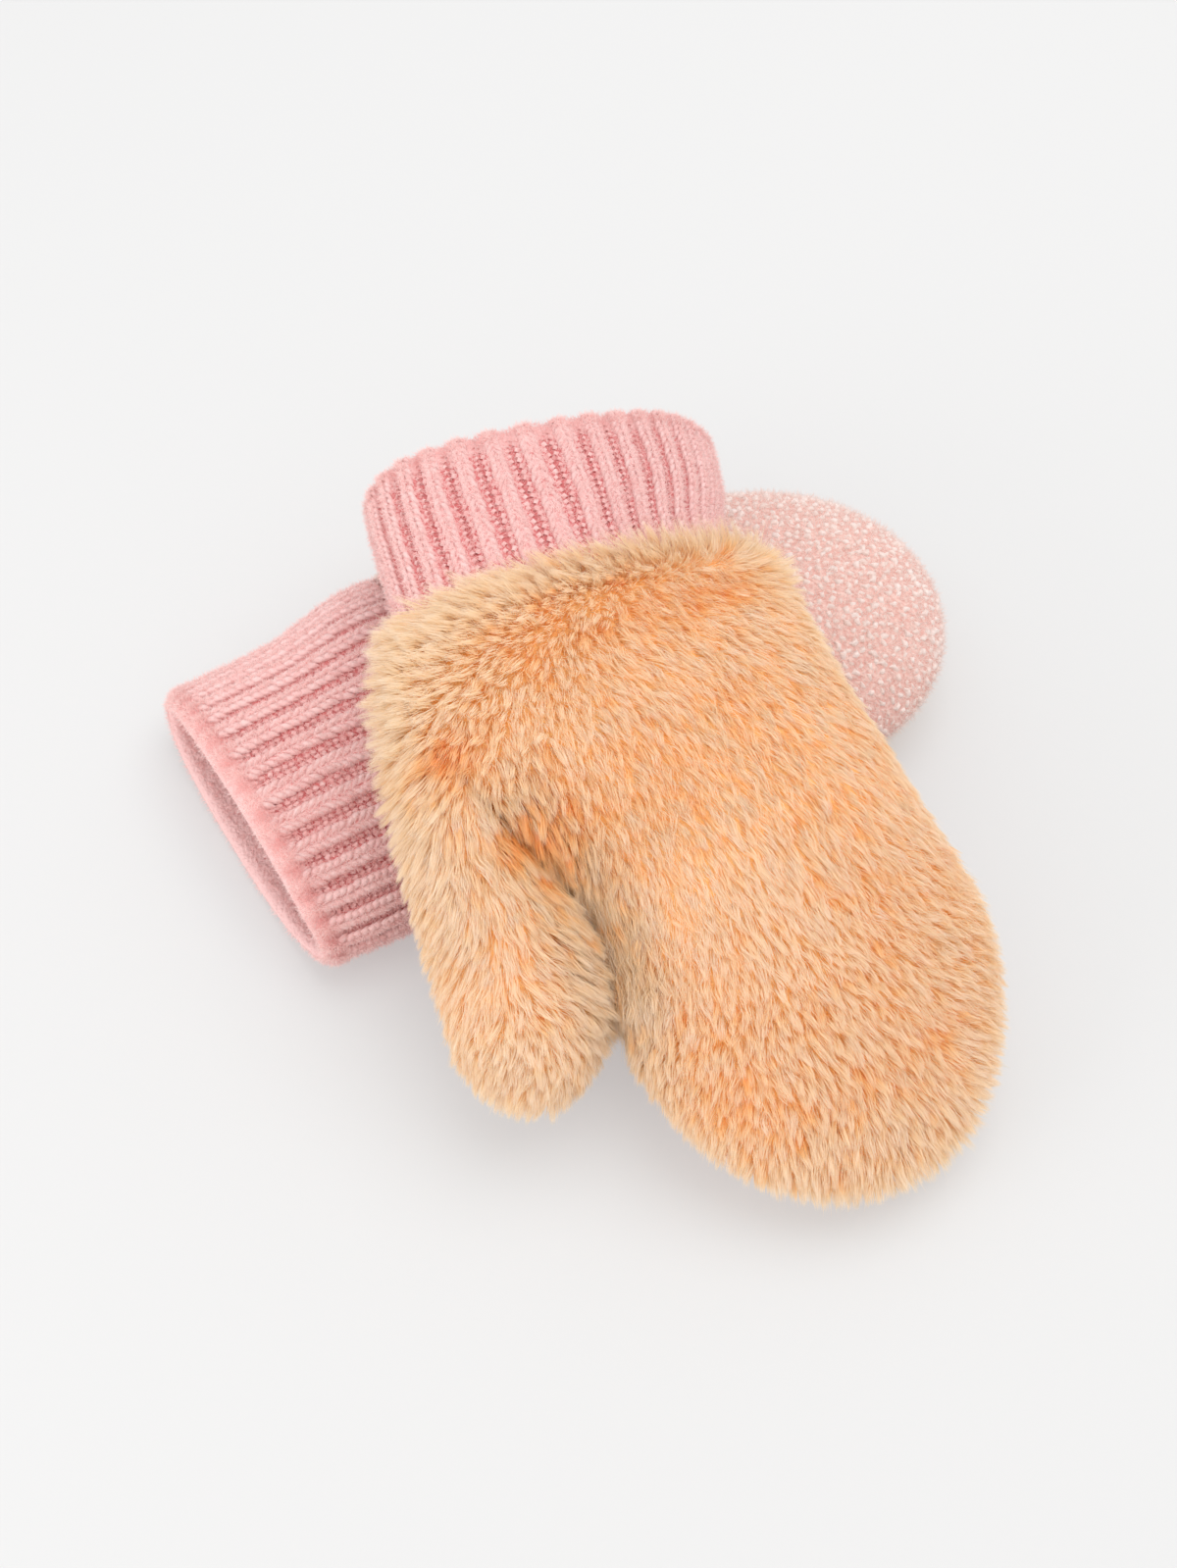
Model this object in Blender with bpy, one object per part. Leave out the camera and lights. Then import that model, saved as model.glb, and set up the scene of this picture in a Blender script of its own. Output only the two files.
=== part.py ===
"""A pair of toddler's mittens, one lying across the other, in metres with +Z up.

Each mitten is sewn from three pieces: a plush palm panel, a boucle back panel and a
doubled rib-knit cuff. The right mitten lies palm up across the left one, which lies palm
down. Sizes are in millimetres in a mitten's own coordinates: u runs from the cuff's hem
to the fingertip, v towards the thumb and w up from the seam between the two panels.
"""

import math

import bmesh
import bpy
import numpy as np

MM = 0.001
GAP = 0.3  # between pieces that meet at a seam

# The cuff: half its width, and its rise to the palm side and to the back side
CUFF_WALL = 4.0  # two layers of knit
CUFF_ROUNDNESS = 0.94  # 1 is a true ellipse, less is squarer
CUFF_RINGS = [
    dict(u=0, half=37.5, palm=10.5, back=10.5),
    dict(u=14, half=38.6, palm=11.5, back=11.5),
    dict(u=32, half=38.4, palm=13.0, back=13.0),
    dict(u=50, half=38.2, palm=13.5, back=13.0),
]
RIB_COUNT = 34
RIB_CROWDING = 0.22  # share by which ribs are wider at the thumb's fold and narrower opposite
RIB_HEIGHT = 1.3
POINTS_PER_RIB = 4
HEM_FADES = 34.0  # from the hem, over which its own outline fades out

# Rings over the rounded hem: how far in from the outer face, and the ribs' share there
HEM_ROUND = 2.2
HEM_RINGS = dict(
    outside=dict(u=0.8, inset=0.7, ribs=0.6),
    edge=dict(u=0.0, inset=2.0, ribs=0.3),
    inside=dict(u=0.8, inset=3.1, ribs=0.0),
)

# The outline that the plush reaches: its little-finger side, where the thumb parts, and
# its thumb side
OUTLINE = [
    dict(u=50, little=-37.8, parting=38.0, thumb=42.0),
    dict(u=60, little=-38.4, parting=40.5, thumb=46.0),
    dict(u=72, little=-39.0, parting=38.0, thumb=50.0),
    dict(u=87, little=-40.2, parting=32.0, thumb=54.0),
    dict(u=103, little=-41.8, parting=26.2, thumb=57.0),
    dict(u=110, little=-42.6, parting=26.6, thumb=58.0),
    dict(u=120, little=-43.8, parting=28.0, thumb=58.8),
    dict(u=132, little=-44.8, parting=29.4, thumb=58.4),
]
CROTCH = 103.0  # where thumb and fingers part
THENAR = 40.0  # length of the valley that runs from there up the palm
THUMB_GAP = 1.6  # between the plush of thumb and fingers
GAP_OPENS = 4.0  # length over which that gap opens
TIP_START, TIP_LENGTH = 132.0, 43.0  # of the fingers' rounded end
THUMB_TIP_START, THUMB_TIP_LENGTH = 114.0, 19.0

TUCK = 24.0  # degrees that a panel's side rolls under to its seam
TUCK_FROM = 109.0  # where the fingers' inner side starts to roll under
SHOULDER = 0.42  # how far a panel drops to meet the cuff, as a share of its rise
SHOULDER_SPAN = (-3.0, 12.0)  # from the cuff's seam, over which it drops
PRESSED_PANEL = 0.6  # of its wall that a panel keeps where the floor presses it
PRESSED_CUFF = 0.8

HAND_ROWS = 11  # sections from the cuff to the crotch
HAND_SPACING = 1.35  # above 1, they are closer together near the cuff
LOBE_ROWS = 4  # from the crotch to where the fingers' end rounds
TIP_ROWS = 7
THUMB_TIP_ROWS = 5
FINGER_COLUMNS = 16
THUMB_COLUMNS = 8

# How each mitten lies. heading is the way its fingers point, in degrees from +X, height is
# that of its seam above the floor, and roll lifts the thumb side
RIGHT_LIE = [
    dict(u=0, heading=-75.5, height=42.0, roll=0.0),
    dict(u=24, heading=-75.5, height=45.0, roll=0.0),
    dict(u=50, heading=-73.5, height=46.5, roll=-1.0),
    dict(u=72, heading=-66.0, height=44.6, roll=-4.0),
    dict(u=100, heading=-62.5, height=36.1, roll=-6.0),
    dict(u=130, heading=-62.5, height=22.5, roll=-4.0),
    dict(u=150, heading=-62.5, height=13.0, roll=-1.0),
    dict(u=175, heading=-62.5, height=6.0, roll=0.0),
]
LEFT_LIE = [
    dict(u=0, heading=30.0, height=11.0, roll=0.0),
    dict(u=24, heading=28.0, height=12.0, roll=-2.0),
    dict(u=50, heading=22.0, height=12.5, roll=-6.0),
    dict(u=72, heading=17.0, height=11.0, roll=-5.0),
    dict(u=100, heading=14.0, height=10.0, roll=-3.0),
    dict(u=130, heading=13.0, height=9.5, roll=0.0),
    dict(u=175, heading=13.0, height=9.5, roll=0.0),
]
PAST_THE_END = 6.0  # how far past its table's ends a lie is worked out
DROOP_ACROSS = (24.0, 56.0)  # v over which the thumb's droop grows
DROOP_ALONG = (70.0, 118.0)  # and u

# How much wider the little finger's side is round the wrist, as a share
RIGHT_WRIST = [
    dict(u=0, wider=0.0),
    dict(u=22, wider=-0.09),
    dict(u=44, wider=-0.17),
    dict(u=50, wider=-0.07),
    dict(u=58, wider=-0.02),
    dict(u=75, wider=0.0),
]
LEFT_WRIST = [
    dict(u=0, wider=0.0),
    dict(u=25, wider=-0.03),
    dict(u=46, wider=0.11),
    dict(u=60, wider=0.08),
    dict(u=85, wider=0.0),
]

# Each mitten: hem is the middle of its cuff's edge on the plan, and stretch is below 1 where
# the cloth bunches up along its length. hem_back is how far the hem stands back from u = 0:
# all round, more at its thumb side, more at its upper side, and more at both its folds. A
# panel's rise is its height over the seam at the middle, wall its thickness there, side its
# thickness at the seam, and inset how far it keeps inside the outline
RIGHT = dict(
    name="right",
    palm_up=True,
    hem=(-5.8, 71.9),
    cuff_length=45.0,
    hem_back=dict(all=-0.8, thumb=-0.8, upper=0.0, folds=4.5),
    lie=RIGHT_LIE,
    wrist=RIGHT_WRIST,
    stretch=1.0,
    thumb_droop=6.0,
    palm=dict(rise=20.0, thumb_rise=17.0, wall=9.0, side=6.0, inset=0.0),
    back=dict(rise=13.0, thumb_rise=10.0, wall=3.0, side=3.0, inset=2.0),
)
LEFT = dict(
    name="left",
    palm_up=False,
    hem=(-66.8, -2.6),
    cuff_length=50.0,
    hem_back=dict(all=-0.4, thumb=1.6, upper=1.8, folds=1.2),
    lie=LEFT_LIE,
    wrist=LEFT_WRIST,
    stretch=0.915,
    thumb_droop=0.0,
    palm=dict(rise=13.0, thumb_rise=11.0, wall=6.5, side=6.0, inset=3.0),
    back=dict(rise=22.0, thumb_rise=15.0, wall=3.0, side=3.0, inset=0.0),
)


def smooth_step(x, start, end):
    """0 before start, 1 after end, smooth between."""
    t = np.clip((np.asarray(x, float) - start) / (end - start), 0, 1)
    return t * t * (3 - 2 * t)


def through(rows, name, at):
    """A smooth curve through a table's column, read at u."""
    u = np.array([row["u"] for row in rows], float)
    value = np.array([row[name] for row in rows], float)
    slope = np.gradient(value, u)
    at = np.clip(at, u[0], u[-1])
    i = np.clip(np.searchsorted(u, at, "right") - 1, 0, len(u) - 2)
    span = u[i + 1] - u[i]
    t = (at - u[i]) / span
    return (
        (2 * t**3 - 3 * t**2 + 1) * value[i]
        + (t**3 - 2 * t**2 + t) * span * slope[i]
        + (3 * t**2 - 2 * t**3) * value[i + 1]
        + (t**3 - t**2) * span * slope[i + 1]
    )


class Lie:
    """Where a mitten's own coordinates are in the world, in millimetres."""

    def __init__(self, mitten):
        lie = mitten["lie"]
        self.u = np.arange(lie[0]["u"] - PAST_THE_END, lie[-1]["u"] + PAST_THE_END)
        heading = np.radians(through(lie, "heading", self.u))
        height = through(lie, "height", self.u)
        roll = np.radians(through(lie, "roll", self.u))[:, None]
        pitch = np.arcsin(np.gradient(height, self.u))
        flat = np.cos(pitch)
        along = np.stack([flat * np.cos(heading), flat * np.sin(heading), np.sin(pitch)], 1)
        # The thumb lies clockwise of the fingers on both, seen from above.
        across = np.stack([np.sin(heading), -np.cos(heading), 0 * heading], 1)
        up = np.cross(across, along)
        self.across = across * np.cos(roll) + up * np.sin(roll)
        self.up = up * np.cos(roll) - across * np.sin(roll)
        path = np.cumsum(along[:, :2], 0) * mitten["stretch"]
        start = [np.interp(0, self.u, path[:, k]) for k in (0, 1)]
        self.middle = np.column_stack([path - start + mitten["hem"], height])
        self.palm_sign = 1 if mitten["palm_up"] else -1
        self.droop = mitten["thumb_droop"]
        self.wrist = mitten["wrist"]

    def read(self, table, u):
        return np.stack([np.interp(u, self.u, table[:, k]) for k in range(3)], -1)

    def place(self, u, v, w):
        """World points for arrays of u, v and w, where w is positive to the palm side."""
        v = v * np.where(v < 0, 1 + through(self.wrist, "wider", u), 1.0)
        rise = self.palm_sign * w[:, None] * self.read(self.up, u)
        found = self.read(self.middle, u) + v[:, None] * self.read(self.across, u) + rise
        found[:, 2] -= self.droop * smooth_step(v, *DROOP_ACROSS) * smooth_step(u, *DROOP_ALONG)
        return found


def dome(angle, sink):
    """Height over the seam, as a share of the rise. sink is how far the seam is past the side."""
    return (np.cos(angle) + sink) / (1 + sink)


def section(u, q, low, high, rise, tucks):
    """(u, v, w) across a section between two edges, for q from -1 to 1.

    tucks are the degrees that its two sides roll under."""
    middle, half = (low + high) / 2, (high - low) / 2
    tuck = np.where(q < 0, *tucks)
    angle = np.radians(q * (90 + tuck))
    height = rise * dome(angle, np.sin(np.radians(tuck)))
    return np.column_stack([np.full_like(q, u), middle + half * np.sin(angle), height])


def one_mound(v, rolled, rise):
    """Heights of a single dome over the whole hand, at the places v across it.

    rolled marks the places past its widest, which have started back under it."""
    low, high = v.min(), v.max()
    middle, half = (low + high) / 2, (high - low) / 2
    angle = np.arcsin(np.clip(np.abs(v - middle) / half, 0, 1))
    angle = np.where(rolled, math.pi - angle, angle)
    sink = np.where(v < middle, -math.cos(angle[0]), -math.cos(angle[-1]))
    return rise * dome(angle, sink)


def rounded_end(p, q, low, high, rise, start, length, tucks):
    """(u, v, w) across a rounded end, where p runs from 0 at its start to 1 at its tip."""
    middle, half = (low + high) / 2, (high - low) / 2
    to_tip = p * np.sqrt(1 - q**2 / 2)
    to_side = q * np.sqrt(1 - p**2 / 2)
    out = np.hypot(to_tip, to_side)
    tuck = tucks[0] + (tucks[1] - tucks[0]) * (0.5 + 0.5 * to_side / out)
    angle = np.radians(out * (90 + tuck))
    reach = np.sin(angle) / out
    height = rise * dome(angle, np.sin(np.radians(tuck)))
    return np.column_stack([start + length * reach * to_tip, middle + half * reach * to_side, height])


def edges_at(u, inset):
    """v of a sheet's edges: little side, the parting's two sides and thumb side."""
    parting = through(OUTLINE, "parting", u)
    opened = smooth_step(u, CROTCH - inset, CROTCH + GAP_OPENS)
    return (
        through(OUTLINE, "little", u) + inset,
        parting - inset * opened,
        parting + (THUMB_GAP + inset) * opened,
        through(OUTLINE, "thumb", u) - inset,
    )


def hand_sections(cuff_length, rise, thumb_rise, inset):
    """From the cuff to the crotch: one mound, which parts into fingers and thumb."""
    first, last = cuff_length + GAP / 2, CROTCH - inset
    q_finger = np.linspace(-1, 1, FINGER_COLUMNS + 1)
    q_thumb = np.linspace(-1, 1, THUMB_COLUMNS + 1)
    widest = 90 / (90 + TUCK)
    rolled = np.concatenate([q_finger[:-1] < -widest, q_thumb > widest])
    rows = []
    for u in first + (last - first) * np.linspace(0, 1, HAND_ROWS) ** HAND_SPACING:
        little, finger_side, thumb_side, thumb = edges_at(u, inset)
        fingers = section(u, q_finger, little, finger_side, rise, (TUCK, 0.0))
        lone = section(u, q_thumb, thumb_side, thumb, thumb_rise, (0.0, TUCK))
        row = np.concatenate([fingers[:-1], lone])
        dropped = SHOULDER * (1 - smooth_step(u - first, *SHOULDER_SPAN))
        whole = one_mound(row[:, 1], rolled, rise * (1 - dropped))
        parted = smooth_step(u, last - THENAR, last) ** 2
        row[:, 2] = (1 - parted) * whole + parted * row[:, 2]
        rows.append(row)
    return rows


def finger_sections(rise, inset):
    """From the crotch to the fingertips."""
    q = np.linspace(-1, 1, FINGER_COLUMNS + 1)
    rows = []
    for u in np.linspace(CROTCH - inset, TIP_START, LOBE_ROWS + 1)[1:]:
        little, inner, _, _ = edges_at(u, inset)
        tuck = TUCK * float(smooth_step(u, TUCK_FROM, TIP_START))
        rows.append(section(u, q, little, inner, rise, (TUCK, tuck)))
    for p in np.linspace(0, 1, TIP_ROWS + 1)[1:]:
        row = rounded_end(p, q, little, inner, rise, TIP_START, TIP_LENGTH - inset, (TUCK, TUCK))
        rows.append(row)
    return rows


def thumb_sections(rise, inset):
    """From the crotch to the thumb's tip."""
    q = np.linspace(-1, 1, THUMB_COLUMNS + 1)
    _, _, inner, outer = edges_at(THUMB_TIP_START, inset)
    rows = [section(THUMB_TIP_START, q, inner, outer, rise, (0.0, TUCK))]
    length = THUMB_TIP_LENGTH - inset
    for p in np.linspace(0, 1, THUMB_TIP_ROWS + 1)[1:]:
        rows.append(rounded_end(p, q, inner, outer, rise, THUMB_TIP_START, length, (0.0, TUCK)))
    return rows


def add_rows(bm, rows):
    return [[bm.verts.new(point) for point in row] for row in rows]


def join_rows(bm, rows, flip=False):
    """Quads between each row of vertices and the next."""
    for here, there in zip(rows, rows[1:]):
        for i in range(len(here) - 1):
            corners = [here[i], here[i + 1], there[i + 1], there[i]]
            bm.faces.new(corners[::-1] if flip else corners)


def mesh_object(name, bm, material, collection):
    bmesh.ops.recalc_face_normals(bm, faces=bm.faces)
    bmesh.ops.scale(bm, verts=bm.verts, vec=(MM, MM, MM))
    mesh = bpy.data.meshes.new(name)
    bm.to_mesh(mesh)
    bm.free()
    mesh.shade_smooth()
    mesh.materials.append(material)
    thing = bpy.data.objects.new(name, mesh)
    collection.objects.link(thing)
    return thing


def panel_sheet(bm, mitten, side, lie, inner):
    """Adds the outer or inner face of a panel's wall, and returns its vertices."""
    panel = mitten[side]
    sign = 1 if side == "palm" else -1
    inset, drop, floor = panel["inset"], 0.0, 0.0
    if inner:
        inset, drop, floor = inset + panel["side"], panel["wall"], PRESSED_PANEL * panel["wall"]
    rise, thumb_rise = panel["rise"] - drop, panel["thumb_rise"] - drop
    sheets = []
    for rows in (
        hand_sections(mitten["cuff_length"], rise, thumb_rise, inset),
        finger_sections(rise, inset),
        thumb_sections(thumb_rise, inset),
    ):
        placed = [lie.place(row[:, 0], row[:, 1], sign * (row[:, 2] + GAP / 2)) for row in rows]
        for row in placed:
            row[:, 2] = np.maximum(row[:, 2], floor)
        sheets.append(add_rows(bm, placed))
    hand, fingers, thumb = sheets
    crotch = hand[-1]
    join_rows(bm, hand, flip=inner)
    join_rows(bm, [crotch[: FINGER_COLUMNS + 1], *fingers], flip=inner)
    join_rows(bm, [crotch[FINGER_COLUMNS:], *thumb], flip=inner)
    return [vertex for rows in sheets for row in rows for vertex in row]


def build_panel(mitten, side, lie, material, collection):
    """A palm or back panel: its outer face, its inner face and the rim between them."""
    bm = bmesh.new()
    outer = panel_sheet(bm, mitten, side, lie, inner=False)
    rim = [edge for edge in bm.edges if len(edge.link_faces) == 1]
    inner = panel_sheet(bm, mitten, side, lie, inner=True)
    twin = dict(zip(outer, inner))
    for edge in rim:
        a, b = edge.verts
        bm.faces.new([a, b, twin[b], twin[a]])
    return mesh_object(f"{side}_{mitten['name']}", bm, material, collection)


def cuff_ring(mitten, lie, u, inset, ribs):
    """Points round the cuff. ribs is 1 where its ribs stand out and 0 where it is plain."""
    phase = np.linspace(0, 2 * math.pi, RIB_COUNT * POINTS_PER_RIB, endpoint=False)
    whole = np.linspace(0, 2 * math.pi, 361)
    turn = np.interp(phase, whole - RIB_CROWDING * np.sin(whole), whole)
    hem = mitten["hem_back"]
    back_off = hem["all"] + hem["thumb"] * np.cos(turn) + hem["upper"] * lie.palm_sign * np.sin(turn)
    back_off += hem["folds"] * np.abs(np.cos(turn)) ** 7
    u = u + back_off * (1 - smooth_step(u, 0, HEM_FADES))
    c, s = (np.sign(x) * np.abs(x) ** CUFF_ROUNDNESS for x in (np.cos(turn), np.sin(turn)))
    valley = RIB_HEIGHT * ribs * (0.5 - 0.5 * np.cos(phase * RIB_COUNT))
    half, palm, back = (through(CUFF_RINGS, name, u) - inset - valley for name in ("half", "palm", "back"))
    ring = lie.place(u, half * c, np.where(s > 0, palm, back) * s)
    ring[:, 2] = np.maximum(ring[:, 2], PRESSED_CUFF * inset if inset else 0.0)
    return ring


def build_cuff(mitten, lie, material, collection):
    """A doubled rib-knit tube: ribs raised outside, plain inside, round at the hem."""
    end = mitten["cuff_length"] - GAP / 2
    rings = [cuff_ring(mitten, lie, **HEM_RINGS[name]) for name in ("edge", "outside")]
    rings += [cuff_ring(mitten, lie, u, 0.0, 1.0) for u in [HEM_ROUND, *np.linspace(9, end, 6)]]
    rings += [cuff_ring(mitten, lie, u, CUFF_WALL, 0.0) for u in np.linspace(end, HEM_ROUND, 5)]
    rings += [cuff_ring(mitten, lie, **HEM_RINGS["inside"])]
    bm = bmesh.new()
    closed = [row + row[:1] for row in add_rows(bm, rings)]
    join_rows(bm, closed + closed[:1])
    return mesh_object(f"cuff_{mitten['name']}", bm, material, collection)


def cloth(name, colour, roughness):
    material = bpy.data.materials.new(name)
    material.use_nodes = True
    shader = material.node_tree.nodes["Principled BSDF"]
    shader.inputs["Base Color"].default_value = (*colour, 1.0)
    shader.inputs["Roughness"].default_value = roughness
    shader.inputs["Metallic"].default_value = 0.0
    return material


def main():
    for thing in list(bpy.data.objects):
        bpy.data.objects.remove(thing)
    collection = bpy.data.collections.new("mittens")
    bpy.context.scene.collection.children.link(collection)
    plush = cloth("apricot_plush", (0.86, 0.50, 0.24), 0.9)
    boucle = cloth("pink_boucle", (0.86, 0.50, 0.47), 0.95)
    rib_knit = cloth("pink_rib_knit", (0.84, 0.38, 0.40), 0.9)
    for mitten in (LEFT, RIGHT):
        lie = Lie(mitten)
        build_panel(mitten, "palm", lie, plush, collection)
        build_panel(mitten, "back", lie, boucle, collection)
        build_cuff(mitten, lie, rib_knit, collection)


main()
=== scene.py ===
"""The cloth of a pair of toddler's mittens: plush pile, boucle loops, ribbed stitches and fuzz.

Shapes are worked out in millimetres, in each mitten's own coordinates: u runs from the cuff's
hem to the fingertip, v towards the thumb and w up from the seam between palm and back.
"""

import math

import bmesh
import bpy
import numpy as np
from mathutils.kdtree import KDTree
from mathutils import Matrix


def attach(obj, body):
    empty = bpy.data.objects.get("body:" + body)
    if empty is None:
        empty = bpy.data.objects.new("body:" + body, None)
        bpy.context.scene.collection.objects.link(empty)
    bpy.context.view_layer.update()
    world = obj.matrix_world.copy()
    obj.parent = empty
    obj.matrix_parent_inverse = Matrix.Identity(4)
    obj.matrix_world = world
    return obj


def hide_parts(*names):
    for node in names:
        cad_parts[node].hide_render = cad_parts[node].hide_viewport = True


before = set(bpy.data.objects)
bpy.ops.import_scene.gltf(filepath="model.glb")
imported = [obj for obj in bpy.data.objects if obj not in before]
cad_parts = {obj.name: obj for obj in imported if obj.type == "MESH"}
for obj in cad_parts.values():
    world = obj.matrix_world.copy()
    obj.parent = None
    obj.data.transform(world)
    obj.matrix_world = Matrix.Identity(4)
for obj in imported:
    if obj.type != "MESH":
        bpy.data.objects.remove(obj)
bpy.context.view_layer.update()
rng = np.random.default_rng(11)
MM = 0.001

# ---------------------------------------------------------------- camera, floor and light

CAMERA_TILT = 57.0  # degrees above the floor
CAMERA_AWAY = 420.0  # millimetres from what it looks at
CAMERA_LOOKS_AT = (5.7, 15.4, 0.0)
CAMERA_LENS = 44.4

# Lamps are placed in metres, and their power is in watts
LAMPS = [
    dict(name="overhead", place=(0.35, 0.25, 1.3), aim=(0.0, 0.0, 0.0), size=1.3, power=7.8),
    dict(name="fill", place=(-0.6, -0.35, 0.25), aim=(0.0, 0.0, 0.02), size=0.5, power=1.6),
]
ROOM_COLOUR = (1.0, 0.995, 0.99, 1.0)
ROOM_BRIGHTNESS = 0.95
FLOOR_HALF = 2.5  # metres
FLOOR_GREY = 0.42
FLOOR_GLOW = 0.33  # the floor's own light, which keeps it as pale as a studio's


def stand_camera():
    data = bpy.data.cameras.new("camera")
    data.lens = CAMERA_LENS
    data.sensor_width = 36.0
    data.clip_start = 0.01
    camera = bpy.data.objects.new("camera", data)
    bpy.context.scene.collection.objects.link(camera)
    tilt = math.radians(CAMERA_TILT)
    x, y, z = CAMERA_LOOKS_AT
    place = (x, y - CAMERA_AWAY * math.cos(tilt), z + CAMERA_AWAY * math.sin(tilt))
    camera.location = [MM * value for value in place]
    camera.rotation_euler = (math.pi / 2 - tilt, 0.0, 0.0)
    bpy.context.scene.camera = camera


def soft_light(name, place, aim, size, power):
    """A round lamp that faces the point it is aimed at."""
    data = bpy.data.lights.new(name, "AREA")
    data.shape = "DISK"
    data.size = size
    data.energy = power
    light = bpy.data.objects.new(name, data)
    bpy.context.scene.collection.objects.link(light)
    light.location = place
    away = np.array(place) - np.array(aim)
    light.rotation_euler = (
        math.atan2(math.hypot(away[0], away[1]), away[2]),
        0.0,
        math.atan2(away[0], -away[1]),
    )


def light_the_room():
    world = bpy.data.worlds.new("studio")
    world.use_nodes = True
    background = world.node_tree.nodes["Background"]
    background.inputs["Color"].default_value = ROOM_COLOUR
    background.inputs["Strength"].default_value = ROOM_BRIGHTNESS
    bpy.context.scene.world = world
    bpy.context.scene.view_settings.view_transform = "Standard"


# ---------------------------------------------------------------- materials


class Value:
    """A number in a material. Python's operators add the maths nodes."""

    def __init__(self, finish, socket):
        self.finish, self.socket = finish, socket

    def maths(self, operation, *values):
        values = [v.socket if isinstance(v, Value) else v for v in values]
        settings = {"operation": operation}
        found = self.finish.add("ShaderNodeMath", settings, dict(enumerate(values)))
        return Value(self.finish, found.outputs[0])

    def __add__(self, other):
        return self.maths("ADD", self, other)

    def __sub__(self, other):
        return self.maths("SUBTRACT", self, other)

    def __mul__(self, other):
        return self.maths("MULTIPLY", self, other)

    def between(self, low, high):
        """0 at low and 1 at high, held at its ends."""
        settings = {"interpolation_type": "SMOOTHSTEP"}
        sockets = {"Value": self.socket, "From Min": low, "From Max": high}
        found = self.finish.add("ShaderNodeMapRange", settings, sockets)
        return Value(self.finish, found.outputs[0])


class Finish:
    """A material in the making."""

    def __init__(self, name, roughness, sheen=0.0):
        self.material = bpy.data.materials.new(name)
        self.material.use_nodes = True
        self.tree = self.material.node_tree
        self.shader = self.tree.nodes["Principled BSDF"]
        self.shader.inputs["Roughness"].default_value = roughness
        self.shader.inputs["Specular IOR Level"].default_value = 0.25
        self.shader.inputs["Sheen Weight"].default_value = sheen
        self.shader.inputs["Sheen Roughness"].default_value = 0.45
        self.place = self.add("ShaderNodeTexCoord", {}, {}).outputs["Object"]

    def add(self, kind, settings, sockets):
        node = self.tree.nodes.new(kind)
        for name, value in settings.items():
            setattr(node, name, value)
        for name, value in sockets.items():
            if isinstance(value, Value):
                value = value.socket
            if isinstance(value, bpy.types.NodeSocket):
                self.tree.links.new(value, node.inputs[name])
            else:
                node.inputs[name].default_value = value
        return node

    def noise(self, per_metre, detail=2.0):
        sockets = {"Vector": self.place, "Scale": per_metre, "Detail": detail}
        return Value(self, self.add("ShaderNodeTexNoise", {}, sockets).outputs[0])

    def attribute(self, name):
        found = self.add("ShaderNodeAttribute", {"attribute_name": name}, {})
        return Value(self, found.outputs["Fac"])

    def mix(self, share, first, second):
        sockets = {"Factor": share, 6: first, 7: second}
        return self.add("ShaderNodeMix", {"data_type": "RGBA"}, sockets).outputs[2]

    def colour(self, socket):
        self.tree.links.new(socket, self.shader.inputs["Base Color"])

    def let_light_through(self, share, colour):
        """Thin fibres pass some of the light on, in one colour all over."""
        passed = self.add("ShaderNodeBsdfTranslucent", {}, {"Color": colour})
        sockets = {"Fac": share, 1: self.shader.outputs[0], 2: passed.outputs[0]}
        both = self.add("ShaderNodeMixShader", {}, sockets)
        self.tree.links.new(both.outputs[0], self.tree.nodes["Material Output"].inputs["Surface"])

    def bump(self, height, metres, strength=1.0):
        sockets = {"Height": height, "Distance": metres, "Strength": strength}
        bump = self.add("ShaderNodeBump", {}, sockets)
        self.tree.links.new(bump.outputs[0], self.shader.inputs["Normal"])


def rgb(red, green, blue):
    """A colour given as on a screen, from 0 to 255."""
    return (*(((c / 255 + 0.055) / 1.055) ** 2.4 for c in (red, green, blue)), 1.0)


def pile_finish():
    """Plush pile: deep apricot at the root, cream at the tip."""
    finish = Finish("apricot_plush_pile", 0.5)
    finish.shader.inputs["Specular Tint"].default_value = rgb(255, 222, 178)
    tone, along = finish.attribute("tone"), finish.attribute("along")
    # tone carries the palm patches' painted shade and painted light: where it is lowest, in
    # creases and the dimple, the pile turns its deepest apricot
    lightness = along * 0.85 + (tone - 0.5) * 1.3
    low = finish.mix(lightness.between(-0.55, 0.0), rgb(254, 170, 84), rgb(254, 212, 155))
    middle = finish.mix(lightness.between(-0.05, 0.45), low, rgb(254, 242, 219))
    finish.colour(finish.mix(lightness.between(0.4, 1.1), middle, rgb(254, 248, 238)))
    finish.let_light_through(0.6, rgb(254, 235, 206))
    return finish.material


def backing_finish():
    """The cloth that the plush pile stands on."""
    finish = Finish("apricot_plush_backing", 0.9)
    patch = finish.noise(400.0, 4.0)
    finish.colour(finish.mix(patch.between(0.3, 0.7), rgb(252, 184, 112), rgb(255, 206, 146)))
    finish.bump(finish.noise(1500.0), 0.0006)
    return finish.material


def yarn_finish(name, deep, middle, pale):
    """Fuzzy yarn: tone is light or deep, and along rises from a yarn's underside to its top, so
    that its upper side is painted paler, as painted light.
    """
    finish = Finish(name, 0.8, sheen=0.1)
    tone, along = finish.attribute("tone"), finish.attribute("along")
    strands = finish.noise(2600.0, 3.0)
    patch = finish.noise(120.0)
    # along * 0.25 paints the yarn's upper side paler: painted light
    lightness = tone + along * 0.25 + (strands - 0.5) * 0.35 + (patch - 0.5) * 0.2
    low = finish.mix(lightness.between(0.0, 0.5), deep, middle)
    finish.colour(finish.mix(lightness.between(0.45, 1.0), low, pale))
    finish.bump(strands, 0.0003, 0.6)
    return finish.material


def fuzz_finish(name, deep, pale):
    """Fine hairs that stand off a yarn."""
    finish = Finish(name, 0.8)
    finish.colour(finish.mix(finish.attribute("tone").between(0.1, 0.9), deep, pale))
    finish.let_light_through(0.5, pale)
    return finish.material


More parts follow.
